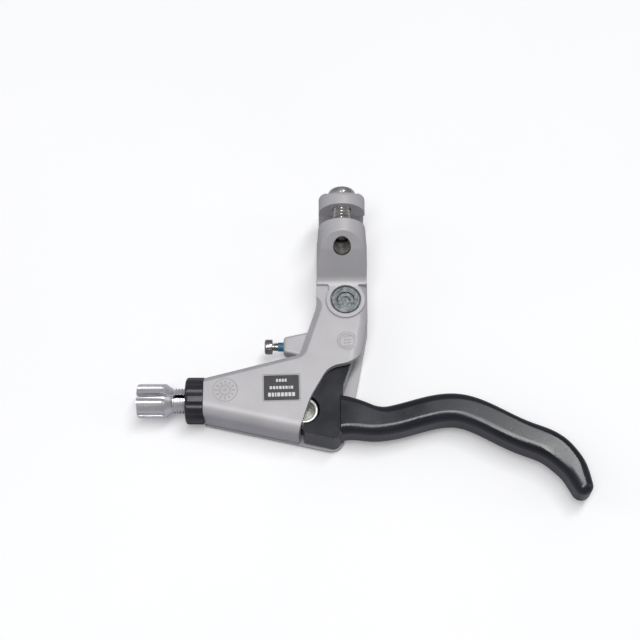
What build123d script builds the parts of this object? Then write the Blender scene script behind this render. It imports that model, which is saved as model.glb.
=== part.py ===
from build123d import *
from math import atan2, degrees, radians, tan
import os

# Linear-pull bicycle brake lever for a flat handlebar, in millimetres.
# Origin: centre of the handlebar bore. +X runs along the bar towards the blade's tip, +Y from the
# blade across the bar to the clamp bolt's head, and +Z out of the face that carries the label.

# ---------------------------------------------------------------- driving dimensions
# Handlebar clamp
bar_diameter = 22.2
clamp_wall = 3.5
clamp_width = 18.0
lug_width = 16.6
lug_gap = 5.8
lug_thickness = 4.8
lug_crown = 5.1          # from the clamp bolt's axis to the top of the lugs
lug_slant = 20.0         # degrees, outer face of the bolt-head lug
lug_foot_z = 6.0         # where that face meets the ring
lug_round = 2.2          # its outer edges
bolt_bar_gap = 1.0       # metal between the bolt hole and the bar

# Clamp bolt
clamp_bolt_d = 6.0
clamp_bolt_head_d = 9.8
clamp_bolt_head_h = 2.9
clamp_bolt_head_round = 1.6
clamp_bolt_length = 16.0
clamp_bolt_key = 5.0
clamp_key_depth = 2.2
bolt_seat_margin = 1.0   # flat round the head, sunk in the outer lug

# Body: two plates with the blade between them
face_z = 1.0             # label face above the bar's axis plane
near_plate = 2.6
blade_slot = 11.8
far_plate = 3.0
body_wall = 2.2
cable_slit = 1.8
bevel_width = 2.3
bevel_depth = 3.0
face_edge_round = 4.0    # label face to the low side wall
far_edge_round = 2.2     # low side wall to the far face
rim_round = 0.5          # inner edge of the label face
waist_inner = 10.5       # pivot axis to the body's inner side
waist_outer = 8.1        # pivot axis to the blade's side
arm_corner_x = -15.0     # where the arm to the pivot meets the barrel's wall
arm_corner_rise = 15.6   # the same corner, above the barrel axis
toe_x = -0.3
toe_drop = 17.7          # barrel axis to the body's lowest corner
barrel_rise = 6.5        # barrel axis to the wall above it, at the open end
barrel_fall = 7.0        # and to the wall below it

# Pivot
pivot_x = 1.4
pivot_drop = 26.3        # bar axis to pivot axis
pivot_head_d = 10.3
pivot_head_h = 1.5
pivot_tube_d = 7.0
pivot_screw_d = 4.0
pivot_screw_head_d = 5.8
pivot_screw_key = 3.0
pivot_nut_d = 9.6
pivot_nut_h = 1.3
pivot_boss_d = 14.0
pivot_boss_rise = 1.1
notch_left = 6.0         # pivot axis to the notches at the neck's foot
notch_right = 4.4
notch_foot = 3.4
notch_round = 0.8
bushing_flange = 0.5
bushing_wall = 1.0
pivot_head_sunk = 0.25
screw_head_depth = 1.6
pivot_key_depth = 0.9
screw_head_sunk = 0.5
root_radius = 7.6
root_gap = 0.9           # round the blade's root, in the slot
root_inset = 0.8         # root's low edge to the far plate's
root_toe_round = 2.8
root_wall_gap = 0.8      # root to the end of the low side wall
wall_from_hook = 1.2     # hook axis to the same end

# Cable side
barrel_drop = 35.4       # pivot axis to barrel axis
barrel_end_x = -48.7
barrel_block = 12.7
adjuster_thread_d = 9.0
adjuster_head_d = 12.2
adjuster_head_length = 12.3
adjuster_taper = 2.2
adjuster_shown = 4.9     # thread between the head's taper and the lock ring
adjuster_engaged = 9.0   # thread inside the body
adjuster_slot = 1.6
housing_seat_d = 5.1
housing_seat_depth = 7.0
cable_bore_d = 2.4
adjuster_flutes = 8
lock_ring_d = 16.6
lock_ring_width = 6.4
lock_ring_flutes = 12
lock_ring_flute_r = 2.6
lock_ring_flute_depth = 0.35
adjuster_flute_r = 1.7
adjuster_flute_depth = 0.7
ring_gap = 0.15          # lock ring to the body

# Cable hook
hook_x = -13.2
hook_drop = 5.1          # barrel axis to the hook's axis
hook_d = 9.4
hook_room = 0.6          # round the hook, in the blade's root
nipple_d = 7.2
hook_height = 7.6
hook_floor = 1.6
hook_slot = 2.0
hook_pin_d = 3.0
hook_pin_head_d = 5.2
hook_pin_head_h = 0.6
shelf_thickness = 2.2
slot_above_floor = 1.2

# Reach screw
reach_screw_drop = 14.6  # pivot axis to the screw's axis
reach_screw_d = 3.0
reach_screw_head_d = 5.4
reach_screw_head_h = 2.8
reach_screw_length = 14.2
reach_boss_face_x = -20.9
reach_boss = 5.7
reach_screw_out = 4.0    # head's underside to the boss
reach_screw_key = 2.5
reach_key_depth = 1.4

# Blade
blade_width = 10.3
blade_height = 12.0
blade_round = 3.0
tip_width = 6.6
blade_lift = 0.4         # blade's middle above the slot's middle
root_flare = 2.3         # extra half width where the blade leaves its root
pocket_depth = 3.2
pocket_rim = 2.6
pocket_start = 0.5       # shares of the blade's length
pocket_end = 0.86

# Label
label_length = 12.3
label_height = 9.3
label_from_hook = 8.1    # hook axis to the label's middle, along the bar
label_rise = 1.9         # barrel axis to the label's middle
label_turn = 1.6
label_thickness = 0.15
label_recess = 0.25
label_margin = 0.35
dial_recess = 0.2
end_dial_d = 8.6
end_dial_inset = 7.7     # barrel end to the dial's middle
arm_dial_d = 7.0
arm_dial_drop = 15.8     # pivot axis to the dial's middle

# Fits
thread_clearance = 0.05
running_clearance = 0.04
bolt_clearance = 0.3
side_clearance = 0.1
head_gap = 0.4

# ---------------------------------------------------------------- derived places
bar_r = bar_diameter / 2
ring_r = bar_r + clamp_wall
bolt_z = bar_r + bolt_bar_gap + clamp_bolt_d / 2
lug_top = bolt_z + lug_crown
lug_outer_y = lug_gap / 2 + lug_thickness
pivot_y = -pivot_drop
barrel_y = pivot_y - barrel_drop
hook_y = barrel_y - hook_drop
reach_screw_y = pivot_y - reach_screw_drop
boss_z = face_z + pivot_boss_rise
slot_top = face_z - near_plate
slot_bottom = slot_top - blade_slot
slot_mid = (slot_top + slot_bottom) / 2
far_z = slot_bottom - far_plate
root_top = slot_top - bushing_flange - side_clearance
root_bottom = slot_bottom + bushing_flange + side_clearance
neck_y = pivot_y + root_radius + 1.6     # solid metal starts here, towards the bar
ledge_y = pivot_y + 5.8                  # foot of the slope up to the lugs

os.makedirs("parts", exist_ok=True)


def save(node, solid):
    """Writes one sub-part under its node's name."""
    solid.label = node
    export_step(solid, "parts/" + node + ".step")


def prism(outline, bottom, top):
    """A closed outline in the XY plane, made solid between two heights."""
    return extrude(Pos(0, 0, bottom) * make_face(outline), amount=top - bottom)


def rod_x(start, end, radius, y, z):
    return Pos((start + end) / 2, y, z) * Rot(0, 90, 0) * Cylinder(radius, end - start)


def rod_y(start, end, radius, x, z):
    return Pos(x, (start + end) / 2, z) * Rot(90, 0, 0) * Cylinder(radius, end - start)


def rod_z(bottom, top, radius, x, y):
    return Pos(x, y, (bottom + top) / 2) * Cylinder(radius, top - bottom)


def block(x0, x1, y0, y1, z0, z1):
    """A box from its lowest to its highest corner."""
    return Pos((x0 + x1) / 2, (y0 + y1) / 2, (z0 + z1) / 2) * Box(x1 - x0, y1 - y0, z1 - z0)


def hex_socket(across_flats, depth):
    """A hexagon key's hole, going down from the XY plane."""
    return extrude(RegularPolygon(across_flats / 2, 6, major_radius=False), amount=-depth)


# ---------------------------------------------------------------- bracket body
# Outer outline, seen from the label side. The barrel end is on the left, the neck to the clamp at the top.
inner_corner = (arm_corner_x, barrel_y + arm_corner_rise)
waist_left = pivot_x - waist_inner
waist_right = pivot_x + waist_outer
wall_end_x = hook_x - wall_from_hook
barrel_top_y = barrel_y + barrel_rise
barrel_low_y = barrel_y - barrel_fall
toe = (toe_x, barrel_y - toe_drop)
body_points = [
    (waist_left, neck_y - 1),
    (waist_left, pivot_y - 1),
    inner_corner,
    (barrel_end_x, barrel_top_y),
    (barrel_end_x, barrel_low_y),
    toe,
    (5.0, barrel_y + 3.7),
    (waist_right, pivot_y - 7.7),
    (waist_right, neck_y - 1),
]
body_radii = [0, 8, 3, 0, 0, 5, 8, 8, 0]
body = prism(FilletPolyline(*body_points, radius=body_radii, close=True), far_z, face_z)
wall_slope = (inner_corner[1] - barrel_top_y) / (inner_corner[0] - barrel_end_x)
low_slope = (toe[1] - barrel_low_y) / (toe[0] - barrel_end_x)


def bevelled_side(reach):
    """Everything to the right of and below the inner side, up to `reach` away."""
    far_left = (barrel_end_x - reach, barrel_top_y - wall_slope * reach)
    corners = [
        (waist_left - bevel_width - 0.3, neck_y + reach),
        (waist_left - bevel_width - 0.3, pivot_y + 0.8),
        (waist_left, pivot_y - 1.2),
        inner_corner,
        far_left,
        (far_left[0], barrel_y - 2 * reach),
        (2 * reach, barrel_y - 2 * reach),
        (2 * reach, neck_y + reach),
    ]
    return FilletPolyline(*corners, radius=[0, 0, 2, 3, 0, 0, 0, 0], close=True)


side = make_face(bevelled_side(60.0))
bevel_z = face_z - bevel_depth
bevel_angle = degrees(atan2(bevel_width, bevel_depth))
bevel_tool = extrude(Pos(0, 0, far_z - 1) * side, amount=bevel_z - far_z + 1)
bevel_tool += extrude(Pos(0, 0, bevel_z) * side, amount=bevel_depth + 1, taper=bevel_angle)
body = body & bevel_tool
low_edges = [e for e in body.edges() if e.length > 20 and (e @ 0.5).Y < barrel_low_y]
low_edges = [e for e in low_edges if abs((e @ 0).Z - (e @ 1).Z) < 0.01]
body = fillet([e for e in low_edges if (e @ 0).Z > 0], face_edge_round)
low_edges = [e for e in body.edges() if e.length > 20 and (e @ 0.5).Y < barrel_low_y]
low_edges = [e for e in low_edges if (e @ 0).Z < far_z + 0.01 and (e @ 1).Z < far_z + 0.01]
body = fillet(low_edges, far_edge_round)

inner_rim = [e for e in body.edges() if abs((e @ 0.5).Z - face_z) < 0.01 and (e @ 0.5).Y < pivot_y + 1]
inner_rim = [e for e in inner_rim if (e @ 0.5).X < waist_left + 3 and (e @ 0.5).Y > barrel_top_y]
body = fillet(inner_rim, rim_round)

# The label-side plate stops at a curved edge, so that the blade's root shows beside it.
corner = (waist_right - 3.5, barrel_y + 12.2)
mouth = FilletPolyline(
    (40, neck_y + 1),
    (waist_right + 0.1, neck_y + 1),
    (waist_right, pivot_y - 7.7),
    (waist_right - 0.9, pivot_y - 14.2),
    corner,
    (hook_x + 8.4, barrel_y + 10),
    (hook_x + 1.9, barrel_y - 1.8),
    (hook_x - 2.0, barrel_y - 14.3),
    (hook_x - 2.0, barrel_y - 30),
    (40, barrel_y - 30),
    radius=[0, 6, 6, 1.2, 9, 8, 20, 0, 0, 0],
    close=True,
)
body -= prism(mouth, slot_bottom, face_z + 1)

# Slot for the blade, open to the right, and the hollow that the cable crosses
hollow_x = barrel_end_x + barrel_block
hollow_top_y = barrel_top_y + wall_slope * barrel_block - body_wall
hollow_low_y = barrel_low_y + low_slope * barrel_block + body_wall
wall_low_y = barrel_low_y + low_slope * (wall_end_x - barrel_end_x) + body_wall
slot_radius = root_radius + root_gap
hollow = FilletPolyline(
    (hollow_x, hollow_top_y),
    (inner_corner[0] + body_wall - 0.2, inner_corner[1] - body_wall - 0.3),
    (pivot_x - slot_radius, pivot_y - 2),
    (pivot_x - slot_radius, pivot_y),
    (pivot_x, pivot_y),
    (40, pivot_y),
    (40, barrel_y - 30),
    (wall_end_x, barrel_y - 30),
    (wall_end_x, wall_low_y),
    (hollow_x, hollow_low_y),
    radius=[1.5, 3, 6, 0, 0, 0, 0, 0, 0, 1.5],
    close=True,
)
body -= prism(hollow, slot_bottom, slot_top)
body -= rod_z(slot_bottom, slot_top, slot_radius, pivot_x, pivot_y)
body -= block(pivot_x, 40, pivot_y - 1, pivot_y + slot_radius, slot_bottom, slot_top)

# Slit through the lower wall, where the cable is slipped in
slit_top = slot_bottom + cable_slit
body -= block(barrel_end_x - 1, wall_end_x + 1, barrel_y - 30, barrel_y, slot_bottom, slit_top)

# Neck and handlebar clamp: the side profile runs along the bar, then the lugs' rounded ends are cut from it
slant_y = tan(radians(lug_slant))
neck_side = FilletPolyline(
    (pivot_y, far_z),
    (pivot_y, boss_z),
    (ledge_y + 1.4, boss_z),
    (ledge_y + 8.2, bolt_z - 0.6),
    (-lug_outer_y, lug_top),
    (0, lug_top),
    (0, -ring_r + 1),
    (-bar_r, far_z),
    radius=[0, 0, 4, 8, 0.8, 0, 4, 0],
    close=True,
)
lug_side = Polyline(
    (0, lug_top),
    (lug_outer_y, lug_top),
    (lug_outer_y + slant_y * (lug_top - lug_foot_z), lug_foot_z),
    (0, lug_foot_z),
    close=True,
)


def along_bar(outline, width):
    """A side profile, given as bar-ward and upward distances, made solid across the clamp's width."""
    return Pos(-width / 2, 0, 0) * extrude(Plane.YZ * make_face(outline), amount=width)


half_lug = lug_width / 2
half_clamp = clamp_width / 2
clamp = along_bar(neck_side, clamp_width) + rod_x(-half_clamp, half_clamp, ring_r, 0, 0)
clamp -= block(-30, 30, lug_gap / 2, 40, -40, lug_top + 1)
notches = FilletPolyline(
    (-30, pivot_y - 1),
    (-30, ledge_y),
    (pivot_x - notch_left, ledge_y),
    (pivot_x - notch_left, pivot_y + notch_foot),
    (pivot_x + notch_right, pivot_y + notch_foot),
    (pivot_x + notch_right, ledge_y),
    (30, ledge_y),
    (30, pivot_y - 1),
    radius=[0, 0, notch_round, 0, 0, notch_round, 0, 0],
    close=True,
)
clamp -= prism(notches, face_z - 0.5, boss_z + 1)
clamp -= block(-30, 30, pivot_y - 1, neck_y - 1, far_z - 1, face_z - 0.5)
arch_z = lug_top - half_lug
arch = make_face(
    [
        Line((-half_clamp, far_z - 1), (-half_clamp, arch_z - 4)),
        Line((-half_clamp, arch_z - 4), (-half_lug, arch_z)),
        ThreePointArc((-half_lug, arch_z), (0, lug_top), (half_lug, arch_z)),
        Line((half_lug, arch_z), (half_clamp, arch_z - 4)),
        Line((half_clamp, arch_z - 4), (half_clamp, far_z - 1)),
        Line((half_clamp, far_z - 1), (-half_clamp, far_z - 1)),
    ]
)
arch = Pos(0, 60, 0) * (Rot(90, 0, 0) * extrude(arch, amount=120))

# The bolt-head lug is slanted and a little narrower, and its outer edges are well rounded.
outer_lug = along_bar(lug_side, lug_width) + rod_x(-half_lug, half_lug, ring_r, 0, 0)
body += (clamp + outer_lug) & arch
outer_room = block(-30, 30, lug_gap / 2, 40, -40, lug_top + 1)
outer_lug = outer_lug & arch & outer_room
lug_edges = [e for e in outer_lug.edges() if (e @ 0.5).Y > lug_gap / 2 + 0.1]
lug_edges = [e for e in lug_edges if abs((e @ 0).X + (e @ 1).X) > 0.1]
lug_edges = [e for e in lug_edges if max((e @ 0).Y, (e @ 1).Y) > lug_outer_y - 0.1]
body -= outer_room - fillet(lug_edges, lug_round)
body += rod_z(face_z - 0.1, boss_z, pivot_boss_d / 2, pivot_x, pivot_y)

# Boss for the reach screw, on the inner side
boss_low = reach_screw_y - reach_boss / 2
boss_high = reach_screw_y + reach_boss / 2
boss_root_x = inner_corner[0] + 5.6
reach_boss_outline = FilletPolyline(
    (reach_boss_face_x, boss_low),
    (reach_boss_face_x, boss_high),
    (boss_root_x, boss_high + 2.6),
    (boss_root_x, boss_low - 3),
    radius=[1.2, 1.4, 0, 0],
    close=True,
)
boss = prism(reach_boss_outline, slot_mid - reach_boss / 2, slot_mid + reach_boss / 2)
boss_edges = [e for e in boss.edges() if (e @ 0.5).X < boss_root_x - 0.1]
boss_edges = [e for e in boss_edges if abs((e @ 0).Z - (e @ 1).Z) < 0.01]
boss = fillet(boss_edges, 1.0)
inner_wall = Pos(0, 0, slot_bottom) * make_face(hollow)
boss -= extrude(inner_wall, amount=blade_slot)
body += boss

# Bores and seats
body -= rod_x(-30, 30, bar_r, 0, 0)
body -= block(-30, 30, -lug_gap / 2, lug_gap / 2, 0, lug_top + 1)
body -= rod_y(lug_outer_y, 40, clamp_bolt_head_d / 2 + bolt_seat_margin, 0, bolt_z)
body -= rod_y(0, 40, clamp_bolt_d / 2 + bolt_clearance, 0, bolt_z)
body -= rod_y(-30, 0, clamp_bolt_d / 2 + thread_clearance, 0, bolt_z)
adjuster_bore = adjuster_thread_d / 2 + thread_clearance
body -= rod_x(barrel_end_x - 1, hollow_x + 2, adjuster_bore, barrel_y, slot_mid)
reach_bore = reach_screw_d / 2 + thread_clearance
body -= rod_x(reach_boss_face_x - 1, pivot_x - 4, reach_bore, reach_screw_y, slot_mid)
tube_bore = pivot_tube_d / 2 + running_clearance
pivot_head_top = boss_z - pivot_head_sunk
pivot_head_bottom = pivot_head_top - pivot_head_h
body -= rod_z(far_z - 1, boss_z + 1, tube_bore, pivot_x, pivot_y)
body -= rod_z(pivot_head_bottom, boss_z + 1, pivot_head_d / 2 + head_gap, pivot_x, pivot_y)
nut_top = far_z + pivot_nut_h
body -= rod_z(far_z - 1, nut_top, pivot_nut_d / 2 + head_gap, pivot_x, pivot_y)

# Recesses for the label and the two casting dials
label_place = Pos(hook_x - label_from_hook, barrel_y + label_rise, face_z) * Rot(0, 0, label_turn)
recess = Rectangle(label_length + 2 * label_margin, label_height + 2 * label_margin)
body -= extrude(label_place * recess, amount=-label_recess)
dials = (
    (barrel_end_x + end_dial_inset, barrel_y + 1, end_dial_d),
    (pivot_x + 0.4, pivot_y - arm_dial_drop, arm_dial_d),
)
for dial_x, dial_y, dial_d in dials:
    body -= rod_z(face_z - dial_recess, face_z + 1, dial_d / 2, dial_x, dial_y)
save("bracket_body", body)

# ---------------------------------------------------------------- label
label = extrude(Rectangle(label_length, label_height), amount=label_thickness)
save("label_plate", Pos(0, 0, -label_recess) * label_place * label)

# ---------------------------------------------------------------- pivot
axle = rod_z(pivot_head_bottom, pivot_head_top, pivot_head_d / 2, pivot_x, pivot_y)
axle += rod_z(nut_top, pivot_head_bottom, pivot_tube_d / 2, pivot_x, pivot_y)
screw_r = pivot_screw_d / 2
screw_head_r = pivot_screw_head_d / 2
screw_seat = pivot_head_top - screw_head_depth
axle -= rod_z(far_z, boss_z, screw_r + thread_clearance, pivot_x, pivot_y)
axle -= rod_z(screw_seat, boss_z, screw_head_r + 0.2, pivot_x, pivot_y)
top_circles = axle.edges().filter_by(GeomType.CIRCLE).group_by(Axis.Z)[-1]
axle = chamfer(top_circles.sort_by(SortBy.RADIUS)[-1], 0.3)
save("pivot_axle", axle)

screw_top = pivot_head_top - screw_head_sunk
screw = rod_z(screw_seat, screw_top, screw_head_r, pivot_x, pivot_y)
screw += rod_z(far_z + 0.4, screw_seat, screw_r, pivot_x, pivot_y)
screw -= Pos(pivot_x, pivot_y, screw_top) * hex_socket(pivot_screw_key, pivot_key_depth)
save("pivot_screw", screw)

nut = rod_z(far_z, nut_top, pivot_nut_d / 2, pivot_x, pivot_y)
nut -= rod_z(far_z - 1, nut_top + 1, screw_r + thread_clearance, pivot_x, pivot_y)
save("pivot_nut", nut)

# ---------------------------------------------------------------- blade
bushing_r = pivot_tube_d / 2 + running_clearance + bushing_wall
shelf_r = hook_d / 2 + 1.0
root_left = wall_end_x + root_wall_gap
root_points = [
    (pivot_x + root_radius, pivot_y),
    (waist_right - 2.2, pivot_y - 12),
    (2.8, barrel_y + 10.9),
    (0.5, barrel_y + 4.2),
    (0.2, barrel_y),
    (toe_x - 0.1, toe[1] + root_inset),
    (root_left, barrel_low_y + low_slope * (root_left - barrel_end_x) + root_inset),
    (hook_x, barrel_y + 3.4),
    (pivot_x - 9.6, barrel_y + 15.4),
    (pivot_x - root_radius, pivot_y),
]
root_radii = [0, 0, 6, 0, 0, root_toe_round, 1, 0, 0, 0]
root = prism(FilletPolyline(*root_points, radius=root_radii, close=True), root_bottom, root_top)
root += rod_z(root_bottom, root_top, root_radius, pivot_x, pivot_y)
root += rod_z(root_bottom, root_bottom + shelf_thickness, shelf_r, hook_x, hook_y)

# The finger blade follows a centre line, with its width set out square to it on both sides.
centre_line = Spline(
    (-0.6, hook_y - 1.6),
    (12.0, hook_y - 3.7),
    (26.0, hook_y - 1.0),
    (41.0, hook_y + 1.2),
    (56.0, hook_y - 5.1),
    (65.0, hook_y - 9.4),
    (73.9, hook_y - 13.6),
    (80.4, hook_y - 21.0),
    (83.0, hook_y - 27.9),
    tangents=[(1, 0), (0.35, -0.94)],
)
steps = 24


def half_width(t):
    """Half the blade's width, from the root's flare to the narrower tip."""
    flare = root_flare * max(0.0, 1 - t / 0.17) ** 1.4
    narrow = (blade_width - tip_width) / 2 * max(0.0, (t - 0.82) / 0.18) ** 1.5
    return blade_width / 2 + flare - narrow


def beside(t, offset):
    """A point beside the centre line, on the bar's side when the offset is positive."""
    along = centre_line % t
    return centre_line @ t + Vector(-along.Y, along.X).normalized() * offset


spread = [i / steps for i in range(steps + 1)]
inner_edge = Spline(*[beside(t, half_width(t)) for t in spread])
outer_edge = Spline(*[beside(t, -half_width(t)) for t in reversed(spread)])
tip_end = centre_line @ 1 + (centre_line % 1) * tip_width * 0.42
tip_arc = ThreePointArc(inner_edge @ 1, tip_end, outer_edge @ 0)
heel = Line(outer_edge @ 1, inner_edge @ 0)
blade_mid = slot_mid + blade_lift
blade_top = blade_mid + blade_height / 2
blade_bottom = blade_top - blade_height
blade = prism(Wire([inner_edge, tip_arc, outer_edge, heel]), blade_bottom, blade_top)
heel_edges = [e for e in blade.edges() if (e @ 0.5).X < 0.5]
rounded = [e for e in blade.edges() if e not in heel_edges]
rounded = [e for e in rounded if abs((e @ 0).Z - (e @ 1).Z) < 0.01]
blade = fillet(rounded, blade_round)

pocket_ts = [pocket_start + (pocket_end - pocket_start) * i / 8 for i in range(9)]
pocket_floor = Spline(*[beside(t, blade_width / 2 - pocket_depth) for t in pocket_ts])
pocket_out = Spline(*[beside(t, blade_width / 2 + 6) for t in reversed(pocket_ts)])
pocket_ends = [Line(pocket_floor @ 1, pocket_out @ 0), Line(pocket_out @ 1, pocket_floor @ 0)]
pocket_outline = Wire([pocket_floor, pocket_out] + pocket_ends)
blade -= prism(pocket_outline, blade_bottom + pocket_rim, blade_top - pocket_rim)

lever = root + blade
lever -= rod_z(root_bottom + shelf_thickness, root_top + 1, hook_d / 2 + hook_room, hook_x, hook_y)
lever -= rod_z(root_bottom - 1, root_top + 1, bushing_r, pivot_x, pivot_y)
lever -= rod_z(root_bottom - 1, root_top, hook_pin_d / 2, hook_x, hook_y)
save("lever_blade", lever)

for name, end, flange_z in (("near", 1, root_top), ("far", -1, root_bottom)):
    sleeve_mid = (root_top + root_bottom) / 2
    low, high = sorted((sleeve_mid + end * 0.1, flange_z))
    bushing = rod_z(low, high, bushing_r, pivot_x, pivot_y)
    flange_low, flange_high = sorted((flange_z, flange_z + end * bushing_flange))
    bushing += rod_z(flange_low, flange_high, root_radius - 1, pivot_x, pivot_y)
    bushing -= rod_z(low - 1, high + 1, tube_bore, pivot_x, pivot_y)
    save("pivot_bushing_" + name, bushing)

# ---------------------------------------------------------------- cable hook
hook_base = root_bottom + shelf_thickness + side_clearance
hook_rim = hook_base + hook_height
hook = rod_z(hook_base, hook_rim, hook_d / 2, hook_x, hook_y)
hook -= rod_z(hook_base + hook_floor, hook_rim + 1, nipple_d / 2, hook_x, hook_y)
hook -= rod_z(hook_base - 1, hook_rim, hook_pin_d / 2 + running_clearance, hook_x, hook_y)
pin_recess = hook_base + hook_floor - hook_pin_head_h - 0.2
hook -= rod_z(pin_recess, hook_rim, hook_pin_head_d / 2 + side_clearance, hook_x, hook_y)
cable_turn = degrees(atan2(barrel_y - hook_y, hook_x - hollow_x))
slot_low = hook_base + hook_floor + slot_above_floor
slot_cut = block(-hook_d, 0, -hook_slot / 2, hook_slot / 2, slot_low, hook_rim + 1)
hook -= Pos(hook_x, hook_y, 0) * Rot(0, 0, -cable_turn) * slot_cut
save("cable_hook", hook)

pin_seat = hook_base + hook_floor - hook_pin_head_h - 0.1
pin = rod_z(root_bottom + 0.2, pin_seat, hook_pin_d / 2, hook_x, hook_y)
pin += rod_z(pin_seat, pin_seat + hook_pin_head_h, hook_pin_head_d / 2, hook_x, hook_y)
save("hook_pin", pin)

# ---------------------------------------------------------------- barrel adjuster and lock ring
ring_start = barrel_end_x - ring_gap - lock_ring_width
ring_end = barrel_end_x - ring_gap
lock_ring = rod_x(ring_start, ring_end, lock_ring_d / 2, barrel_y, slot_mid)
lock_ring = fillet(lock_ring.edges().filter_by(GeomType.CIRCLE).group_by(Axis.X)[0], 1.2)
flute_y = lock_ring_d / 2 + lock_ring_flute_r - lock_ring_flute_depth
for i in range(lock_ring_flutes):
    turn = Pos(0, barrel_y, slot_mid) * Rot(360 * i / lock_ring_flutes, 0, 0)
    lock_ring -= turn * rod_x(ring_start - 1, ring_end + 1, lock_ring_flute_r, flute_y, 0)
lock_ring -= rod_x(ring_start - 1, ring_end + 1, adjuster_bore, barrel_y, slot_mid)
save("lock_ring", lock_ring)

thread_start = ring_start - adjuster_shown
head_start = thread_start - adjuster_head_length
head_end = thread_start - adjuster_taper
thread_end = barrel_end_x + adjuster_engaged
adjuster = rod_x(head_start, head_end, adjuster_head_d / 2, barrel_y, slot_mid)
taper = Cone(adjuster_head_d / 2, adjuster_thread_d / 2, adjuster_taper)
adjuster += Pos((head_end + thread_start) / 2, barrel_y, slot_mid) * Rot(0, 90, 0) * taper
adjuster += rod_x(thread_start, thread_end, adjuster_thread_d / 2, barrel_y, slot_mid)
flute_z = adjuster_head_d / 2 + adjuster_flute_r - adjuster_flute_depth
for i in range(adjuster_flutes):
    turn = Pos(0, barrel_y, slot_mid) * Rot(360 * (i + 0.5) / adjuster_flutes, 0, 0)
    adjuster -= turn * rod_x(head_start - 1, head_end + 0.4, adjuster_flute_r, 0, flute_z)
adjuster -= rod_x(head_start - 1, thread_end + 1, cable_bore_d / 2, barrel_y, slot_mid)
adjuster -= rod_x(head_start - 1, head_start + housing_seat_depth, housing_seat_d / 2, barrel_y, slot_mid)
slot_y = (barrel_y - adjuster_slot / 2, barrel_y + adjuster_slot / 2)
adjuster -= block(head_start - 1, thread_end + 1, *slot_y, slot_mid, slot_mid + adjuster_head_d)
save("barrel_adjuster", adjuster)

# ---------------------------------------------------------------- screws
reach_seat_x = reach_boss_face_x - reach_screw_out
reach_top_x = reach_seat_x - reach_screw_head_h
reach_end_x = reach_seat_x + reach_screw_length
reach = rod_x(reach_top_x, reach_seat_x, reach_screw_head_d / 2, reach_screw_y, slot_mid)
reach = fillet(reach.edges().filter_by(GeomType.CIRCLE).group_by(Axis.X)[0], 0.6)
reach += rod_x(reach_seat_x, reach_end_x, reach_screw_d / 2, reach_screw_y, slot_mid)
key = Rot(0, -90, 0) * hex_socket(reach_screw_key, reach_key_depth)
reach -= Pos(reach_top_x, reach_screw_y, slot_mid) * key
save("reach_screw", reach)

bolt_top_y = lug_outer_y + clamp_bolt_head_h
bolt = rod_y(lug_outer_y, bolt_top_y, clamp_bolt_head_d / 2, 0, bolt_z)
bolt = fillet(bolt.edges().filter_by(GeomType.CIRCLE).group_by(Axis.Y)[-1], clamp_bolt_head_round)
bolt += rod_y(lug_outer_y - clamp_bolt_length, lug_outer_y, clamp_bolt_d / 2, 0, bolt_z)
key = Rot(-90, 0, 0) * hex_socket(clamp_bolt_key, clamp_key_depth)
bolt -= Pos(0, bolt_top_y, bolt_z) * key
save("clamp_bolt", bolt)
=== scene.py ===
import math

import bmesh
import bpy
from mathutils import Matrix, Vector


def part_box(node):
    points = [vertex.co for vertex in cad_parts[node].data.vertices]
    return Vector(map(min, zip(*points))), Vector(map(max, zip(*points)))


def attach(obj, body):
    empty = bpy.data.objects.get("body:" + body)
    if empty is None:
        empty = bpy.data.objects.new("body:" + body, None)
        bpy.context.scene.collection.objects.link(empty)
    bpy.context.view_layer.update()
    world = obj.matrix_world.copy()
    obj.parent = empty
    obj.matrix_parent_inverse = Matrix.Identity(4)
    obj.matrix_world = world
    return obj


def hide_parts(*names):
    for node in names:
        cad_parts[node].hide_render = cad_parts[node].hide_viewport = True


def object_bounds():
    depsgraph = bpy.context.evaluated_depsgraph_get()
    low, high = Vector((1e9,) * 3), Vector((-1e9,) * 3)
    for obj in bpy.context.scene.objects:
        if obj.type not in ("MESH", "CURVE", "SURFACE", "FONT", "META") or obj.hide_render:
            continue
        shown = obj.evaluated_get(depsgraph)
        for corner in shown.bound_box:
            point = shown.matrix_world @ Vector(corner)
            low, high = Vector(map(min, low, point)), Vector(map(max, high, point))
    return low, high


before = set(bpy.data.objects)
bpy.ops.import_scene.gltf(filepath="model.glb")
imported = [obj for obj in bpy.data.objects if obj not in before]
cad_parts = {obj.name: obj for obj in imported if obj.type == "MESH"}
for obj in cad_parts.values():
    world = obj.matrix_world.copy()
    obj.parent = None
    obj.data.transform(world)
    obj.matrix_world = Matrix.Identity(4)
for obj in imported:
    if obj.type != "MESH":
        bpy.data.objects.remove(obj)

cad_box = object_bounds()

# ---------------------------------------------------------------- bench and light
# The lever lies label up on a pale bench top, under one wide soft lamp and two weaker ones.
# The camera stands in front of the blade and looks steeply down.
bench_z = cad_box[0][2]
view_target = Vector((-0.0078, -0.0340, 0.0010))
view_distance = 0.530
view_elevation = math.radians(66.0)
camera_data = bpy.data.cameras.new("camera")
camera_data.sensor_width = 36.0
camera_data.lens = 83.5
camera = bpy.data.objects.new("camera", camera_data)
towards_camera = Vector((0.0, -math.cos(view_elevation), math.sin(view_elevation)))
camera.location = view_target + view_distance * towards_camera
camera.rotation_euler = (math.pi / 2 - view_elevation, 0.0, 0.0)
bpy.context.scene.collection.objects.link(camera)
bpy.context.scene.camera = camera
bpy.context.scene.view_settings.view_transform = "Standard"


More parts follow.
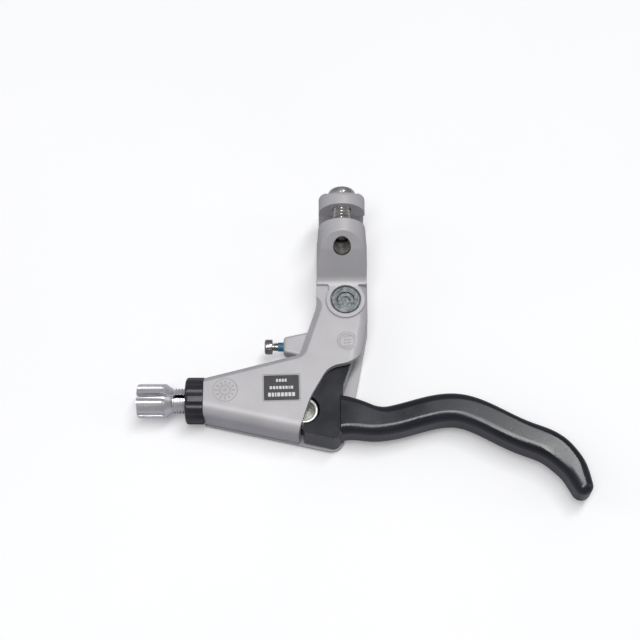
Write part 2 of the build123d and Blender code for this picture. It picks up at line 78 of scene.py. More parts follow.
def effect_group(name, inputs, outputs):
    """An empty node group with named number inputs and named outputs."""
    group = bpy.data.node_groups.new(name, "ShaderNodeTree")
    for label, value in inputs:
        socket = group.interface.new_socket(label, in_out="INPUT", socket_type="NodeSocketFloat")
        socket.default_value = value
    for label in outputs:
        group.interface.new_socket(label, in_out="OUTPUT", socket_type="NodeSocketFloat")
    return group, group.nodes.new("NodeGroupInput"), group.nodes.new("NodeGroupOutput")


def mottle_effect():
    """Soft cloudy unevenness and a fine grain, both on the piece's own coordinates."""
    inputs = [("Cloud Scale", 60.0), ("Grain Scale", 3000.0)]
    group, given, result = effect_group("mottle", inputs, ["Cloud", "Grain"])
    place = group.nodes.new("ShaderNodeTexCoord")
    for output, size, detail in (("Cloud", "Cloud Scale", 4.0), ("Grain", "Grain Scale", 2.0)):
        noise = group.nodes.new("ShaderNodeTexNoise")
        noise.inputs["Detail"].default_value = detail
        group.links.new(place.outputs["Object"], noise.inputs["Vector"])
        group.links.new(given.outputs[size], noise.inputs["Scale"])
        group.links.new(noise.outputs["Fac"], result.inputs[output])
    return group


mottle = mottle_effect()


def add_effect(material, group, **values):
    """Places a node group in a material, with this material's own values."""
    node = material.node_tree.nodes.new("ShaderNodeGroup")
    node.node_tree = group
    for label, value in values.items():
        node.inputs[label.replace("_", " ")].default_value = value
    return node


mask_low, mask_high = 0.3, 0.7


def mottled_material(name, metallic, cloud, grain, dark, light):
    """A material that clouds from dark to light, with its shader and the mottle that the rest can follow."""
    material = bpy.data.materials.new(name)
    material.use_nodes = True
    nodes, links = material.node_tree.nodes, material.node_tree.links
    shader = nodes["Principled BSDF"]
    shader.inputs["Metallic"].default_value = metallic
    effect = add_effect(material, mottle, Cloud_Scale=cloud, Grain_Scale=grain)
    ramp = nodes.new("ShaderNodeValToRGB")
    for element, place, colour in zip(ramp.color_ramp.elements, (mask_low, mask_high), (dark, light)):
        element.position = place
        element.color = (*colour, 1.0)
    links.new(effect.outputs["Cloud"], ramp.inputs["Fac"])
    links.new(ramp.outputs["Color"], shader.inputs["Base Color"])
    return material, shader, effect


def vary_roughness(material, shader, mask, low, high):
    """Roughness from low to high as the mask goes from mask_low to mask_high."""
    nodes, links = material.node_tree.nodes, material.node_tree.links
    span = nodes.new("ShaderNodeMapRange")
    span.inputs["From Min"].default_value = mask_low
    span.inputs["From Max"].default_value = mask_high
    span.inputs["To Min"].default_value = low
    span.inputs["To Max"].default_value = high
    links.new(mask, span.inputs["Value"])
    links.new(span.outputs["Result"], shader.inputs["Roughness"])


def add_relief(material, shader, height, depth, edge_radius=0.0):
    """Fine relief of a real depth, over edges that are softened by edge_radius."""
    nodes, links = material.node_tree.nodes, material.node_tree.links
    bump = nodes.new("ShaderNodeBump")
    bump.inputs["Distance"].default_value = depth
    links.new(height, bump.inputs["Height"])
    if edge_radius:
        soft_edge = nodes.new("ShaderNodeBevel")
        soft_edge.samples = 6
        soft_edge.inputs["Radius"].default_value = edge_radius
        links.new(soft_edge.outputs["Normal"], bump.inputs["Normal"])
    links.new(bump.outputs["Normal"], shader.inputs["Normal"])


bench_paint, bench_shader, _ = mottled_material(
    "bench_paint", metallic=0.0, cloud=6.0, grain=400.0,
    dark=(0.93, 0.93, 0.94), light=(0.96, 0.96, 0.96),
)
bench_shader.inputs["Roughness"].default_value = 0.7
bench_shader.inputs["Emission Color"].default_value = (1.0, 1.0, 1.0, 1.0)
bench_shader.inputs["Emission Strength"].default_value = 0.18
dim_bench = bench_paint.node_tree.nodes.new("ShaderNodeBsdfDiffuse")
dim_bench.inputs["Color"].default_value = (0.50, 0.49, 0.54, 1.0)
seen_or_bounced = bench_paint.node_tree.nodes.new("ShaderNodeMixShader")
ray = bench_paint.node_tree.nodes.new("ShaderNodeLightPath")
bench_paint.node_tree.links.new(ray.outputs["Is Camera Ray"], seen_or_bounced.inputs["Fac"])
bench_paint.node_tree.links.new(dim_bench.outputs["BSDF"], seen_or_bounced.inputs[1])
bench_paint.node_tree.links.new(bench_shader.outputs["BSDF"], seen_or_bounced.inputs[2])
bench_output = bench_paint.node_tree.nodes["Material Output"]
bench_paint.node_tree.links.new(seen_or_bounced.outputs["Shader"], bench_output.inputs["Surface"])
bench_half_width = 1.5
bench_mesh = bmesh.new()
bmesh.ops.create_grid(bench_mesh, x_segments=4, y_segments=4, size=bench_half_width)
bmesh.ops.translate(bench_mesh, verts=bench_mesh.verts, vec=(0.0, 0.0, bench_z))
bench_data = bpy.data.meshes.new("bench_top")
bench_mesh.to_mesh(bench_data)
bench_mesh.free()
bench_data.materials.append(bench_paint)
bench = bpy.data.objects.new("bench_top", bench_data)
bpy.context.scene.collection.objects.link(bench)

world = bpy.data.worlds.new("room")
world.use_nodes = True
world.node_tree.nodes["Background"].inputs["Color"].default_value = (0.93, 0.95, 1.0, 1.0)
world.node_tree.nodes["Background"].inputs["Strength"].default_value = 0.24
bpy.context.scene.world = world


def soft_lamp(name, place, width, depth, power):
    """A flat lamp that points at the lever."""
    lamp_data = bpy.data.lights.new(name, "AREA")
    lamp_data.shape = "RECTANGLE"
    lamp_data.size = width
    lamp_data.size_y = depth
    lamp_data.energy = power
    lamp = bpy.data.objects.new(name, lamp_data)
    lamp.location = place
    lamp.rotation_euler = (view_target - Vector(place)).to_track_quat("-Z", "Y").to_euler()
    bpy.context.scene.collection.objects.link(lamp)


soft_lamp("overhead_lamp", place=(0.05, -0.08, 1.15), width=1.2, depth=0.20, power=9.0)
soft_lamp("left_lamp", place=(-0.95, 0.05, 0.60), width=0.4, depth=0.9, power=1.0)
soft_lamp("right_lamp", place=(0.95, -0.05, 0.45), width=0.3, depth=0.9, power=0.7)

# ---------------------------------------------------------------- bracket body
# The body is one aluminium casting: the split clamp, the neck, and two plates with a slot between them.
# It is tumbled smooth and sprayed a satin silver; inside the bolt's hole its colour is painted near black as
# shade. The shape is the packed model's own.
body_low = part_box("bracket_body")[0]
body_silver, body_shader, body_mottle = mottled_material(
    "body_silver", metallic=0.22, cloud=90.0, grain=5200.0,
    dark=(0.53, 0.515, 0.53), light=(0.585, 0.57, 0.585),
)
vary_roughness(body_silver, body_shader, body_mottle.outputs["Grain"], low=0.42, high=0.56)
add_relief(body_silver, body_shader, body_mottle.outputs["Grain"], depth=0.000018, edge_radius=0.00045)


def bore_effect():
    """A mask that is 1 within a radius of a line along Y, and only below Near Y."""
    inputs = [("Axis X", 0.0), ("Axis Z", 0.0), ("Radius", 0.003), ("Near Y", 0.0)]
    group, given, result = effect_group("bore", inputs, ["Bore"])
    place = group.nodes.new("ShaderNodeTexCoord")
    parts = group.nodes.new("ShaderNodeSeparateXYZ")
    group.links.new(place.outputs["Object"], parts.inputs["Vector"])

    def step(operation, first, second):
        node = group.nodes.new("ShaderNodeMath")
        node.operation = operation
        group.links.new(first, node.inputs[0])
        group.links.new(second, node.inputs[1])
        return node.outputs[0]

    side = step("SUBTRACT", parts.outputs["X"], given.outputs["Axis X"])
    rise = step("SUBTRACT", parts.outputs["Z"], given.outputs["Axis Z"])
    square = step("ADD", step("MULTIPLY", side, side), step("MULTIPLY", rise, rise))
    reach = step("MULTIPLY", given.outputs["Radius"], given.outputs["Radius"])
    inside = step("LESS_THAN", square, reach)
    before = step("LESS_THAN", parts.outputs["Y"], given.outputs["Near Y"])
    group.links.new(step("MULTIPLY", inside, before), result.inputs["Bore"])
    return group


bolt_low, bolt_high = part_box("clamp_bolt")
bolt_centre = (bolt_low + bolt_high) / 2
# Painted shade: within this radius of the bolt's axis the body's colour turns near black, standing for the
# shade inside the hole.
bore_shade_r = 0.00315
bore = add_effect(body_silver, bore_effect(), Axis_X=bolt_centre.x, Axis_Z=bolt_centre.z, Radius=bore_shade_r)
painted_bore_shade = body_silver.node_tree.nodes.new("ShaderNodeMix")
painted_bore_shade.data_type = "RGBA"
painted_bore_shade.inputs["B"].default_value = (0.035, 0.032, 0.030, 1.0)
cast_colour = body_shader.inputs["Base Color"].links[0].from_socket
body_silver.node_tree.links.new(bore.outputs["Bore"], painted_bore_shade.inputs["Factor"])
body_silver.node_tree.links.new(cast_colour, painted_bore_shade.inputs["A"])
body_silver.node_tree.links.new(painted_bore_shade.outputs["Result"], body_shader.inputs["Base Color"])


def finish_node(node, material):
    """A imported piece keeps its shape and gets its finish."""
    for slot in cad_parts[node].material_slots:
        slot.material = material


finish_node("bracket_body", body_silver)

# ---------------------------------------------------------------- casting dials
# Two shallow round marks are cast into the label face: one has ticks round two rings, one has bars in a ring.
# They are part of the casting, stand in their recesses and carry no lettering.
label_low, label_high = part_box("label_plate")
axle_low, axle_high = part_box("pivot_axle")
ring_low, ring_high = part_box("lock_ring")
pivot = (axle_low + axle_high) / 2
barrel = (ring_low + ring_high) / 2
label_sunk = 0.0001
face_z = label_high.z + label_sunk
dial_depth = 0.0002
dial_root = 0.0001
dial_below_face = 0.00004


def add_ring(bm, centre, outer, inner, bottom, top):
    """A flat washer shape, standing on bottom."""
    segments = 72
    for radius in (outer, inner):
        place = Matrix.Translation((*centre, bottom))
        bmesh.ops.create_circle(bm, segments=segments, radius=radius, matrix=place)
    bm.verts.ensure_lookup_table()
    edges = list({e for v in bm.verts[-2 * segments:] for e in v.link_edges})
    band = bmesh.ops.bridge_loops(bm, edges=edges)["faces"]
    raised = bmesh.ops.extrude_face_region(bm, geom=band)["geom"]
    raised_verts = [v for v in raised if isinstance(v, bmesh.types.BMVert)]
    bmesh.ops.translate(bm, verts=raised_verts, vec=(0, 0, top - bottom))


def add_block(bm, size, place):
    """A box of a size, set by a matrix."""
    bmesh.ops.create_cube(bm, size=1.0, matrix=place @ Matrix.Diagonal((*size, 1.0)))


def close_and_shade(bm):
    """Merges doubles, turns the faces outwards, and leaves only real corners sharp."""
    corner_angle = 0.6
    bmesh.ops.remove_doubles(bm, verts=bm.verts, dist=1e-7)
    bmesh.ops.dissolve_degenerate(bm, edges=bm.edges, dist=1e-7)
    bmesh.ops.recalc_face_normals(bm, faces=bm.faces)
    for face in bm.faces:
        face.smooth = True
    for edge in bm.edges:
        edge.smooth = len(edge.link_faces) == 2 and edge.calc_face_angle(0.0) < corner_angle


def add_piece(name, bm, body, material):
    """A finished mesh in its place, riding on a body."""
    close_and_shade(bm)
    mesh = bpy.data.meshes.new(name)
    bm.to_mesh(mesh)
    bm.free()
    mesh.materials.append(material)
    piece = bpy.data.objects.new(name, mesh)
    bpy.context.scene.collection.objects.link(piece)
    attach(piece, body)
    return piece


end_dial = (body_low.x + 0.0077, barrel.y + 0.0010)
arm_dial = (pivot.x + 0.0004, pivot.y - 0.0158)
dial_floor = face_z - dial_depth - dial_root
dial_middle = dial_floor + dial_root
dial_top = face_z - dial_below_face
mark_height = 0.00025

end_rings = ((0.00200, 0.00150), (0.00060, 0.00030))
tick_count = 12
tick_size = (0.00095, 0.00042, mark_height)
tick_r = 0.0030
bm = bmesh.new()
for outer, inner in end_rings:
    add_ring(bm, end_dial, outer, inner, dial_floor, dial_top)
for i in range(tick_count):
    turn = Matrix.Translation((*end_dial, dial_middle)) @ Matrix.Rotation(math.tau * i / tick_count, 4, "Z")
    add_block(bm, tick_size, turn @ Matrix.Translation((tick_r, 0, 0)))
add_piece("end_dial_relief", bm, "root", body_silver)

arm_ring_outer, arm_ring_inner = 0.00290, 0.00248
bar_count = 4
bar_size = (0.0023, 0.00045, mark_height)
bar_step = 0.0012
bar_shift = 0.0001
bar_turn = 0.2
bm = bmesh.new()
add_ring(bm, arm_dial, arm_ring_outer, arm_ring_inner, dial_floor, dial_top)
for i in range(bar_count):
    bar_y = arm_dial[1] + bar_step * (i - (bar_count - 1) / 2)
    place = Matrix.Translation((arm_dial[0] + bar_shift, bar_y, dial_middle))
    add_block(bm, bar_size, place @ Matrix.Rotation(bar_turn, 4, "Z"))
add_piece("arm_dial_relief", bm, "root", body_silver)

# ---------------------------------------------------------------- label
# A dark printed foil is stuck in a shallow recess beside the barrel.
# Its lettering is left out: three rows of plain white bars stand for the print, each with its place across
# the label, its height and the widths of its bars.
label_turn = math.radians(1.6)
label_size = (0.0123, 0.0093, 0.00015)
label_corner_r = 0.0004
label_centre = (label_low + label_high) / 2
label_place = Matrix.Translation(label_centre) @ Matrix.Rotation(label_turn, 4, "Z")
foil_grey, foil_shader, foil_mottle = mottled_material(
    "foil_grey", metallic=0.0, cloud=300.0, grain=6000.0,
    dark=(0.045, 0.044, 0.049), light=(0.060, 0.059, 0.065),
)
foil_shader.inputs["Roughness"].default_value = 0.38
add_relief(foil_grey, foil_shader, foil_mottle.outputs["Grain"], depth=0.000006)
bm = bmesh.new()
add_block(bm, label_size, label_place)
corner_edges = [e for e in bm.edges if abs(e.verts[0].co.z - e.verts[1].co.z) > label_size[2] / 2]
bmesh.ops.bevel(
    bm, geom=corner_edges, offset=label_corner_r, segments=5, profile=0.5,
    affect="EDGES", material=-1, clamp_overlap=True,
)
label = add_piece("label_foil", bm, "root", foil_grey)
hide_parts("label_plate")

print_white, print_shader, _ = mottled_material(
    "print_white", metallic=0.0, cloud=900.0, grain=7000.0,
    dark=(0.70, 0.70, 0.71), light=(0.82, 0.82, 0.82),
)
print_shader.inputs["Roughness"].default_value = 0.45
print_rows = (
    (0.0027, 0.00110, (0.0007, 0.0007, 0.0007, 0.0007)),
    (0.0000, 0.00110, (0.0008, 0.0009, 0.0007, 0.0009, 0.0007, 0.0008, 0.0004, 0.0009)),
    (-0.0026, 0.00145, (0.0010, 0.0008, 0.0005, 0.0010, 0.0010, 0.0010, 0.0010, 0.0010)),
)
print_gap = 0.0003
print_thickness = 0.00003
bm = bmesh.new()
for row_y, bar_height, widths in print_rows:
    along = -(sum(widths) + print_gap * (len(widths) - 1)) / 2
    for width in widths:
        bar = Matrix.Translation((along + width / 2, row_y, label_size[2] / 2))
        add_block(bm, (width, bar_height, print_thickness), label_place @ bar)
        along += width + print_gap
add_piece("label_print", bm, "root", print_white)

# ---------------------------------------------------------------- pivot
# The blade turns on a flanged steel axle, held by a small key screw from above and a nut under the far plate.
# All three are zinc plated, a cloudy grey-green.
zinc_plate, zinc_shader, zinc_mottle = mottled_material(
    "zinc_plate", metallic=0.7, cloud=850.0, grain=4200.0,
    dark=(0.12, 0.135, 0.138), light=(0.37, 0.40, 0.40),
)
vary_roughness(zinc_plate, zinc_shader, zinc_mottle.outputs["Cloud"], low=0.34, high=0.5)
add_relief(zinc_plate, zinc_shader, zinc_mottle.outputs["Grain"], depth=0.00001, edge_radius=0.0002)
for node in ("pivot_axle", "pivot_screw", "pivot_nut"):
    finish_node(node, zinc_plate)

# ---------------------------------------------------------------- pivot bushes
# Two flanged acetal bushes are pressed into the blade's root, one from each side, and run on the axle.
# They show only as a thin black line between the blade and the plates.
acetal, acetal_shader, acetal_mottle = mottled_material(
    "acetal_black", metallic=0.0, cloud=300.0, grain=3500.0,
    dark=(0.012, 0.012, 0.013), light=(0.028, 0.028, 0.03),
)
acetal_shader.inputs["Roughness"].default_value = 0.5
add_relief(acetal, acetal_shader, acetal_mottle.outputs["Grain"], depth=0.00001)
for node in ("pivot_bushing_near", "pivot_bushing_far"):
    finish_node(node, acetal)

# ---------------------------------------------------------------- blade
# The finger blade is forged aluminium, painted a glossy black that is a little uneven.
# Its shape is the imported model's own, with the finger pocket behind the bend.
blade_black, blade_shader, blade_mottle = mottled_material(
    "blade_black", metallic=0.0, cloud=55.0, grain=4200.0,
    dark=(0.008, 0.009, 0.013), light=(0.020, 0.023, 0.031),
)
vary_roughness(blade_black, blade_shader, blade_mottle.outputs["Cloud"], low=0.16, high=0.30)
add_relief(blade_black, blade_shader, blade_mottle.outputs["Grain"], depth=0.000008, edge_radius=0.0004)
finish_node("lever_blade", blade_black)

# ---------------------------------------------------------------- cable hook
# A turned brass cup, bright nickel plated, holds the cable's barrel nipple and swivels on a flat-headed pin.
# A slot through its wall lets the cable in; its rim and foot are rounded over.
hook_low, hook_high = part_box("cable_hook")
hook_centre = (hook_low + hook_high) / 2
hook_r = (hook_high.x - hook_low.x) / 2
nipple_r = 0.0036
hook_floor = 0.0016
hook_slot = 0.0020
pin_hole_r = 0.00154
pin_recess_r = 0.0027
pin_recess = 0.0008
rim_round = 0.0004
slot_above_floor = 0.0012
cable_exit_x = body_low.x + 0.0127


def turn_profile(bm, profile, steps, closed=True):
    """Turns (along, radius) points about the X axis."""
    verts = [bm.verts.new((along, 0.0, radius)) for along, radius in profile]
    ends = zip(verts, verts[1:] + verts[:1]) if closed else zip(verts, verts[1:])
    edges = [bm.edges.new(pair) for pair in ends]
    bmesh.ops.spin(
        bm, geom=verts + edges, cent=(0, 0, 0), axis=(1, 0, 0), angle=math.tau, steps=steps, use_merge=True
    )


def rounded(corner, before, after, segments=4):
    """Points of a quarter turn at a corner: it starts `before` the corner and ends `after` it."""
    points = []
    for i in range(segments + 1):
        angle = math.pi / 2 * i / segments
        share_in, share_out = 1 - math.sin(angle), 1 - math.cos(angle)
        points.append(
            (
                corner[0] + before[0] * share_in + after[0] * share_out,
                corner[1] + before[1] * share_in + after[1] * share_out,
            )
        )
    return points


def cut_from(bm, *tools):
    """Takes closed shapes out of a closed mesh, and returns the result as a new bmesh."""
    solids = []
    for shape in (bm, *tools):
        bmesh.ops.remove_doubles(shape, verts=shape.verts, dist=1e-7)
        bmesh.ops.recalc_face_normals(shape, faces=shape.faces)
        mesh = bpy.data.meshes.new("solid")
        shape.to_mesh(mesh)
        shape.free()
        solid = bpy.data.objects.new("solid", mesh)
        bpy.context.scene.collection.objects.link(solid)
        solids.append(solid)
    for tool in solids[1:]:
        modifier = solids[0].modifiers.new("cut", "BOOLEAN")
        modifier.object = tool
        modifier.solver = "EXACT"
    graph = bpy.context.evaluated_depsgraph_get()
    result = bmesh.new()
    result.from_mesh(solids[0].evaluated_get(graph).to_mesh())
    for solid in solids:
        bpy.data.objects.remove(solid)
    return result


hook_height = hook_high.z - hook_low.z
hook_profile = (
    rounded((0.0, hook_r), (0.0, -rim_round), (rim_round, 0.0))
    + rounded((hook_height, hook_r), (-rim_round, 0.0), (0.0, -rim_round))
    + rounded((hook_height, nipple_r), (0.0, rim_round), (-rim_round, 0.0))
    + [(hook_floor, nipple_r), (hook_floor, pin_recess_r), (hook_floor - pin_recess, pin_recess_r)]
    + [(hook_floor - pin_recess, pin_hole_r), (0.0, pin_hole_r)]
)
upright = Matrix.Rotation(-math.pi / 2, 4, "Y")
cable_aim = math.atan2(barrel.y - hook_centre.y, cable_exit_x - hook_centre.x)
hook_place = Matrix.Translation((hook_centre.x, hook_centre.y, hook_low.z))
bm = bmesh.new()
turn_profile(bm, hook_profile, steps=96)
bmesh.ops.transform(bm, matrix=hook_place @ upright, verts=bm.verts)
slot_cutter = bmesh.new()
slot_low = hook_floor + slot_above_floor
slot_size = (hook_r * 2, hook_slot, hook_height)
slot_shift = Matrix.Translation((hook_r, 0.0, slot_low + hook_height / 2))
add_block(slot_cutter, slot_size, hook_place @ Matrix.Rotation(cable_aim, 4, "Z") @ slot_shift)
nickel, nickel_shader, nickel_mottle = mottled_material(
    "hook_nickel", metallic=0.55, cloud=380.0, grain=5000.0,
    dark=(0.80, 0.81, 0.74), light=(0.92, 0.92, 0.89),
)
vary_roughness(nickel, nickel_shader, nickel_mottle.outputs["Cloud"], low=0.20, high=0.34)
add_relief(nickel, nickel_shader, nickel_mottle.outputs["Grain"], depth=0.000004)
hook = add_piece("hook_cup", cut_from(bm, slot_cutter), "hook", nickel)
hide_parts("cable_hook")
finish_node("hook_pin", nickel)

# ---------------------------------------------------------------- barrel adjuster
# Turned from aluminium bar and polished: a fluted head, a taper and a threaded shank, slit for the cable.
# The housing's end sits in its mouth, and it screws into the body to take up slack.
adjuster_low, adjuster_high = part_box("barrel_adjuster")
adjuster_length = adjuster_high.x - adjuster_low.x
head_r = (adjuster_high.y - adjuster_low.y) / 2
head_end = 0.0101
taper_end = 0.0123
shank_r = 0.0045
seat_r = 0.00255
seat_depth = 0.0070
cable_r = 0.0012
thread_pitch = 0.0010
thread_depth = 0.00050
thread_core = 0.003
thread_run_in = 0.0001
mouth_round = 0.0009
seat_round = 0.0003
seat_taper = 0.0012
edge_before = 0.0003
edge_after = 0.0002
edge_drop = 0.00015
flute_count = 8
flute_r = 0.0017
flute_depth = 0.0007
flute_end = head_end - 0.0012
slot_width = 0.0016
cutter_over = 0.002


def add_thread(bm, start, end, radius, pitch, depth, core):
    """A helical thread along X on a core: its tooth profile is turned while it moves on by one pitch."""
    steps = 48
    teeth = max(2, round((end - start) / pitch))
    profile = [(start, core)]
    for tooth in range(teeth):
        foot = start + tooth * pitch
        profile += [(foot, radius - depth), (foot + 0.40 * pitch, radius), (foot + 0.56 * pitch, radius)]
    profile += [(start + teeth * pitch, radius - depth), (start + teeth * pitch, core)]
    verts = [bm.verts.new((along, 0.0, r)) for along, r in profile]
    edges = [bm.edges.new(pair) for pair in zip(verts, verts[1:])]
    move_on = (pitch / steps, 0, 0)
    bmesh.ops.spin(
        bm, geom=verts + edges, cent=(0, 0, 0), axis=(1, 0, 0), dvec=move_on, angle=math.tau, steps=steps
    )
    bmesh.ops.remove_doubles(bm, verts=bm.verts, dist=1e-7)
    bmesh.ops.holes_fill(bm, edges=[e for e in bm.edges if len(e.link_faces) == 1], sides=0)


def joined(*parts):
    """Several bmeshes as one."""
    whole = bmesh.new()
    for part in parts:
        mesh = bpy.data.meshes.new("part")
        part.to_mesh(mesh)
        part.free()
        whole.from_mesh(mesh)
    return whole


def add_capsule(bm, start, end, radius, across):
    """A round cutter along X with a domed far end, `across` off the axis."""
    angles = [math.pi / 2 * i / 6 for i in range(7)]
    dome = [(end + radius * math.sin(angle), radius * math.cos(angle)) for angle in angles]
    turn_profile(bm, [(start, 0.0), (start, radius)] + dome, steps=24, closed=False)
    bmesh.ops.translate(bm, verts=bm.verts, vec=(0.0, 0.0, across))


head_profile = (
    rounded((0.0, seat_r), (seat_round, 0.0), (0.0, seat_round))
    + rounded((0.0, head_r), (0.0, -mouth_round), (mouth_round, 0.0))
    + [(head_end - edge_before, head_r), (head_end + edge_after, head_r - edge_drop)]
    + [(taper_end - edge_after, shank_r + edge_drop), (taper_end + edge_before, shank_r - thread_run_in)]
    + [(taper_end + 2 * edge_before, shank_r - thread_depth), (adjuster_length, shank_r - thread_depth)]
    + [(adjuster_length, cable_r), (seat_depth + seat_taper, cable_r), (seat_depth, seat_r)]
)
shell = bmesh.new()
turn_profile(shell, head_profile, steps=128)
cutters = []
for i in range(flute_count):
    cutter = bmesh.new()
    add_capsule(cutter, -cutter_over, flute_end, flute_r, head_r + flute_r - flute_depth)
    spin_to = Matrix.Rotation(math.tau * (i + 0.5) / flute_count, 4, "X")
    bmesh.ops.transform(cutter, matrix=spin_to, verts=cutter.verts)
    cutters.append(cutter)


def cable_slit():
    """The cutter for the slit, from the bore upwards."""
    cutter = bmesh.new()
    place = Matrix.Translation((adjuster_length / 2, 0.0, head_r))
    add_block(cutter, (adjuster_length + 2 * cutter_over, slot_width, head_r * 2), place)
    return cutter


thread = bmesh.new()
thread_start = taper_end + thread_run_in
thread_end = adjuster_length - thread_pitch
add_thread(thread, thread_start, thread_end, shank_r, thread_pitch, thread_depth, thread_core)
shell = cut_from(shell, *cutters, cable_slit())
thread = cut_from(thread, cable_slit())
bm = joined(shell, thread)
bmesh.ops.translate(bm, verts=bm.verts, vec=(adjuster_low.x, barrel.y, barrel.z))


def turning_effect():
    """Fine marks that run round a piece turned about X: noise drawn out along them."""
    group, given, result = effect_group("turning_marks", [("Scale", 900.0)], ["Marks"])
    place = group.nodes.new("ShaderNodeTexCoord")
    stretch = group.nodes.new("ShaderNodeMapping")
    stretch.inputs["Scale"].default_value = (6.0, 0.25, 0.25)
    noise = group.nodes.new("ShaderNodeTexNoise")
    noise.inputs["Detail"].default_value = 3.0
    group.links.new(place.outputs["Object"], stretch.inputs["Vector"])
    group.links.new(stretch.outputs["Vector"], noise.inputs["Vector"])
    group.links.new(given.outputs["Scale"], noise.inputs["Scale"])
    group.links.new(noise.outputs["Fac"], result.inputs["Marks"])
    return group


turning_marks = turning_effect()
polished, polished_shader, _ = mottled_material(
    "polished_aluminium", metallic=0.85, cloud=260.0, grain=5000.0,
    dark=(0.80, 0.79, 0.81), light=(0.90, 0.89, 0.91),
)
polished_marks = add_effect(polished, turning_marks, Scale=800.0)
vary_roughness(polished, polished_shader, polished_marks.outputs["Marks"], low=0.27, high=0.32)
add_relief(polished, polished_shader, polished_marks.outputs["Marks"], depth=0.0000003)
adjuster = add_piece("adjuster_barrel", bm, "adjuster", polished)
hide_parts("barrel_adjuster")

# ---------------------------------------------------------------- lock ring
# A moulded black plastic nut runs on the adjuster's thread and jams it against the body.
# Shallow finger flutes run across it, and its outer edge is rounded over.
ring_black, ring_shader, ring_mottle = mottled_material(
    "ring_black", metallic=0.0, cloud=180.0, grain=3200.0,
    dark=(0.016, 0.016, 0.021), light=(0.028, 0.028, 0.036),
)
vary_roughness(ring_black, ring_shader, ring_mottle.outputs["Grain"], low=0.26, high=0.42)
add_relief(ring_black, ring_shader, ring_mottle.outputs["Grain"], depth=0.00001, edge_radius=0.0003)
finish_node("lock_ring", ring_black)

# ---------------------------------------------------------------- reach screw
# A small nickel-plated cap screw goes through a boss beside the neck and stops the blade's root from behind.
# A ring of blue thread lock, brushed on next to the boss, keeps it where it is set.
reach_low, reach_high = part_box("reach_screw")
reach_centre = (reach_low + reach_high) / 2
reach_length = reach_high.x - reach_low.x
reach_head_r = (reach_high.y - reach_low.y) / 2
reach_head_h = 0.0028
reach_r = 0.0015
reach_pitch = 0.0005


tip_chamfer = 0.0006


def screw_blank(head_radius, head_height, length, radius, dome, dome_height):
    """A cap screw's turned blank along X: the head's top is at 0, the shank lies under the thread's roots."""
    under_edge = 0.0002
    root_radius = radius * 0.86
    profile = (
        [(0.0, 0.0)]
        + rounded((0.0, head_radius), (0.0, -dome), (dome_height, 0.0), 8)
        + rounded((head_height, head_radius), (-under_edge, 0.0), (0.0, -under_edge))
        + [(head_height, radius * 0.98), (head_height + under_edge, root_radius)]
        + [(length - tip_chamfer, root_radius), (length, radius * 0.6), (length, 0.0)]
    )
    blank = bmesh.new()
    turn_profile(blank, profile, steps=64, closed=False)
    bmesh.ops.remove_doubles(blank, verts=blank.verts, dist=1e-7)
    return blank


def hex_cutter(across_flats, depth):
    """The cutter for a hexagon key's hole, going in along X from 0."""
    cutter = bmesh.new()
    radius = across_flats / math.sqrt(3)
    bmesh.ops.create_cone(
        cutter, cap_ends=True, segments=6, radius1=radius, radius2=radius, depth=2 * depth,
        matrix=Matrix.Rotation(math.pi / 2, 4, "Y"),
    )
    return cutter


def cap_screw(head_radius, head_height, length, radius, pitch, dome, dome_height, key, key_depth):
    """A whole cap screw along X, with its key hole and its thread."""
    blank = screw_blank(head_radius, head_height, length, radius, dome, dome_height)
    teeth = bmesh.new()
    first = head_height + 0.0003
    last = length - pitch - tip_chamfer
    add_thread(teeth, first, last, radius, pitch, depth=radius * 0.15, core=radius * 0.7)
    return joined(cut_from(blank, hex_cutter(key, key_depth)), teeth)


bm = cap_screw(
    reach_head_r, reach_head_h, reach_length, reach_r, reach_pitch,
    dome=0.0007, dome_height=0.0007, key=0.0025, key_depth=0.0014,
)
bmesh.ops.translate(bm, verts=bm.verts, vec=(reach_low.x, reach_centre.y, reach_centre.z))
screw_steel, screw_shader, screw_mottle = mottled_material(
    "screw_nickel", metallic=1.0, cloud=500.0, grain=5000.0,
    dark=(0.40, 0.38, 0.35), light=(0.62, 0.60, 0.57),
)
vary_roughness(screw_steel, screw_shader, screw_mottle.outputs["Cloud"], low=0.16, high=0.34)
add_relief(screw_steel, screw_shader, screw_mottle.outputs["Grain"], depth=0.000005)
reach = add_piece("reach_cap_screw", bm, "reach", screw_steel)
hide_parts("reach_screw")

lock_blue, lock_shader, lock_mottle = mottled_material(
    "thread_lock_blue", metallic=0.0, cloud=900.0, grain=4000.0,
    dark=(0.012, 0.085, 0.16), light=(0.05, 0.20, 0.31),
)
lock_shader.inputs["Roughness"].default_value = 0.45
add_relief(lock_blue, lock_shader, lock_mottle.outputs["Grain"], depth=0.00004)
patch_start = reach_head_h + 0.0020
patch_end = patch_start + 0.0021
patch_foot_r = reach_r * 0.9
patch_bumps = [0.0001, 0.00016, 0.00011, 0.00017, 0.00012, 0.00016, 0.0001]
patch_step = (patch_end - patch_start) / (len(patch_bumps) - 1)
patch_top = [(patch_start + patch_step * i, reach_r + rise) for i, rise in enumerate(patch_bumps)]
bm = bmesh.new()
turn_profile(bm, [(patch_start, patch_foot_r)] + patch_top + [(patch_end, patch_foot_r)], steps=48)
bmesh.ops.translate(bm, verts=bm.verts, vec=(reach_low.x, reach_centre.y, reach_centre.z))
add_piece("thread_lock_ring", bm, "reach", lock_blue)

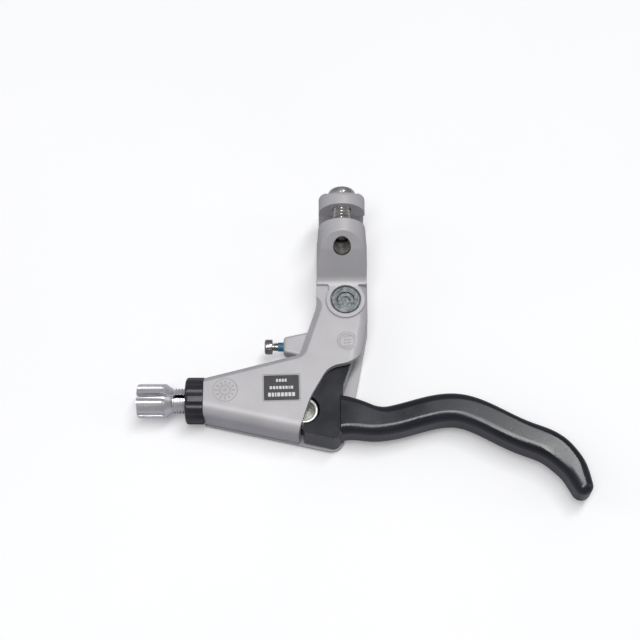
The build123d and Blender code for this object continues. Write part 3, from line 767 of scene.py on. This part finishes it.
# ---------------------------------------------------------------- clamp bolt
# A chrome-plated steel cap screw closes the lugs on the bar: its head bears on the outer lug and it threads
# into the inner one. The head's top edge is domed, and the thread shows between the lugs.
bolt_length = bolt_high.y - bolt_low.y
bolt_head_r = (bolt_high.x - bolt_low.x) / 2
bolt_head_h = 0.0029
bolt_r = 0.0030
bolt_pitch = 0.0012
bm = cap_screw(
    bolt_head_r, bolt_head_h, bolt_length, bolt_r, bolt_pitch,
    dome=0.0019, dome_height=0.0017, key=0.0050, key_depth=0.0022,
)
towards_blade = Matrix.Rotation(-math.pi / 2, 4, "Z")
bolt_place = Matrix.Translation((bolt_centre.x, bolt_high.y, bolt_centre.z)) @ towards_blade
bmesh.ops.transform(bm, matrix=bolt_place, verts=bm.verts)
chrome, chrome_shader, chrome_mottle = mottled_material(
    "bolt_chrome", metallic=1.0, cloud=420.0, grain=5000.0,
    dark=(0.58, 0.56, 0.52), light=(0.74, 0.73, 0.71),
)
vary_roughness(chrome, chrome_shader, chrome_mottle.outputs["Cloud"], low=0.14, high=0.30)
add_relief(chrome, chrome_shader, chrome_mottle.outputs["Grain"], depth=0.000004)
bolt = add_piece("clamp_cap_screw", bm, "root", chrome)
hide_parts("clamp_bolt")

# ---------------------------------------------------------------- tapped hole
# The inner lug's hole is tapped for the clamp bolt, and the bolt ends inside it.
# The turns past its end show in the slanted face: bare metal, coloured dark as painted shade inside the hole,
# cut off flush with it.
tapped_r = 0.00305
crest_r = 0.00258
liner_r = tapped_r + 0.0002
tapped_pitch = 0.0010
turn_count = 6
root_clear = 0.00002
crest_from, crest_width = 0.44 * tapped_pitch, 0.16 * tapped_pitch
tapped_start = 0.0003
tapped_end = tapped_start + turn_count * tapped_pitch
# Painted shade: the thread's colour is kept dark to stand for the shade inside the hole.
thread_shade_material, thread_shade_shader, _ = mottled_material(
    "thread_painted_shade", metallic=0.6, cloud=700.0, grain=5000.0,
    dark=(0.16, 0.15, 0.14), light=(0.34, 0.33, 0.31),
)
thread_shade_shader.inputs["Roughness"].default_value = 0.4
liner_profile = [(tapped_start, liner_r)]
for i in range(turn_count):
    foot = tapped_start + i * tapped_pitch
    crest = foot + crest_from
    liner_profile += [(foot, tapped_r - root_clear), (crest, crest_r), (crest + crest_width, crest_r)]
liner_profile += [(tapped_end, tapped_r - root_clear), (tapped_end, liner_r)]
bm = bmesh.new()
turn_profile(bm, liner_profile, steps=64)
hole_place = Matrix.Translation((bolt_centre.x, bolt_low.y, bolt_centre.z)) @ towards_blade
bmesh.ops.transform(bm, matrix=hole_place, verts=bm.verts)
slant_y = -0.0131
slant_drop = 0.0030
slant_angle = math.radians(35.0)
face_foot = Matrix.Translation((bolt_centre.x, slant_y, bolt_centre.z - slant_drop))
block_size = (0.02, 0.02, 0.03)
block_shift = Matrix.Translation((0.0, -block_size[1] / 2, 0.0))
block_place = face_foot @ Matrix.Rotation(-slant_angle, 4, "X") @ block_shift
outside_face = bmesh.new()
add_block(outside_face, block_size, block_place)
add_piece("lug_thread", cut_from(bm, outside_face), "root", thread_shade_material)
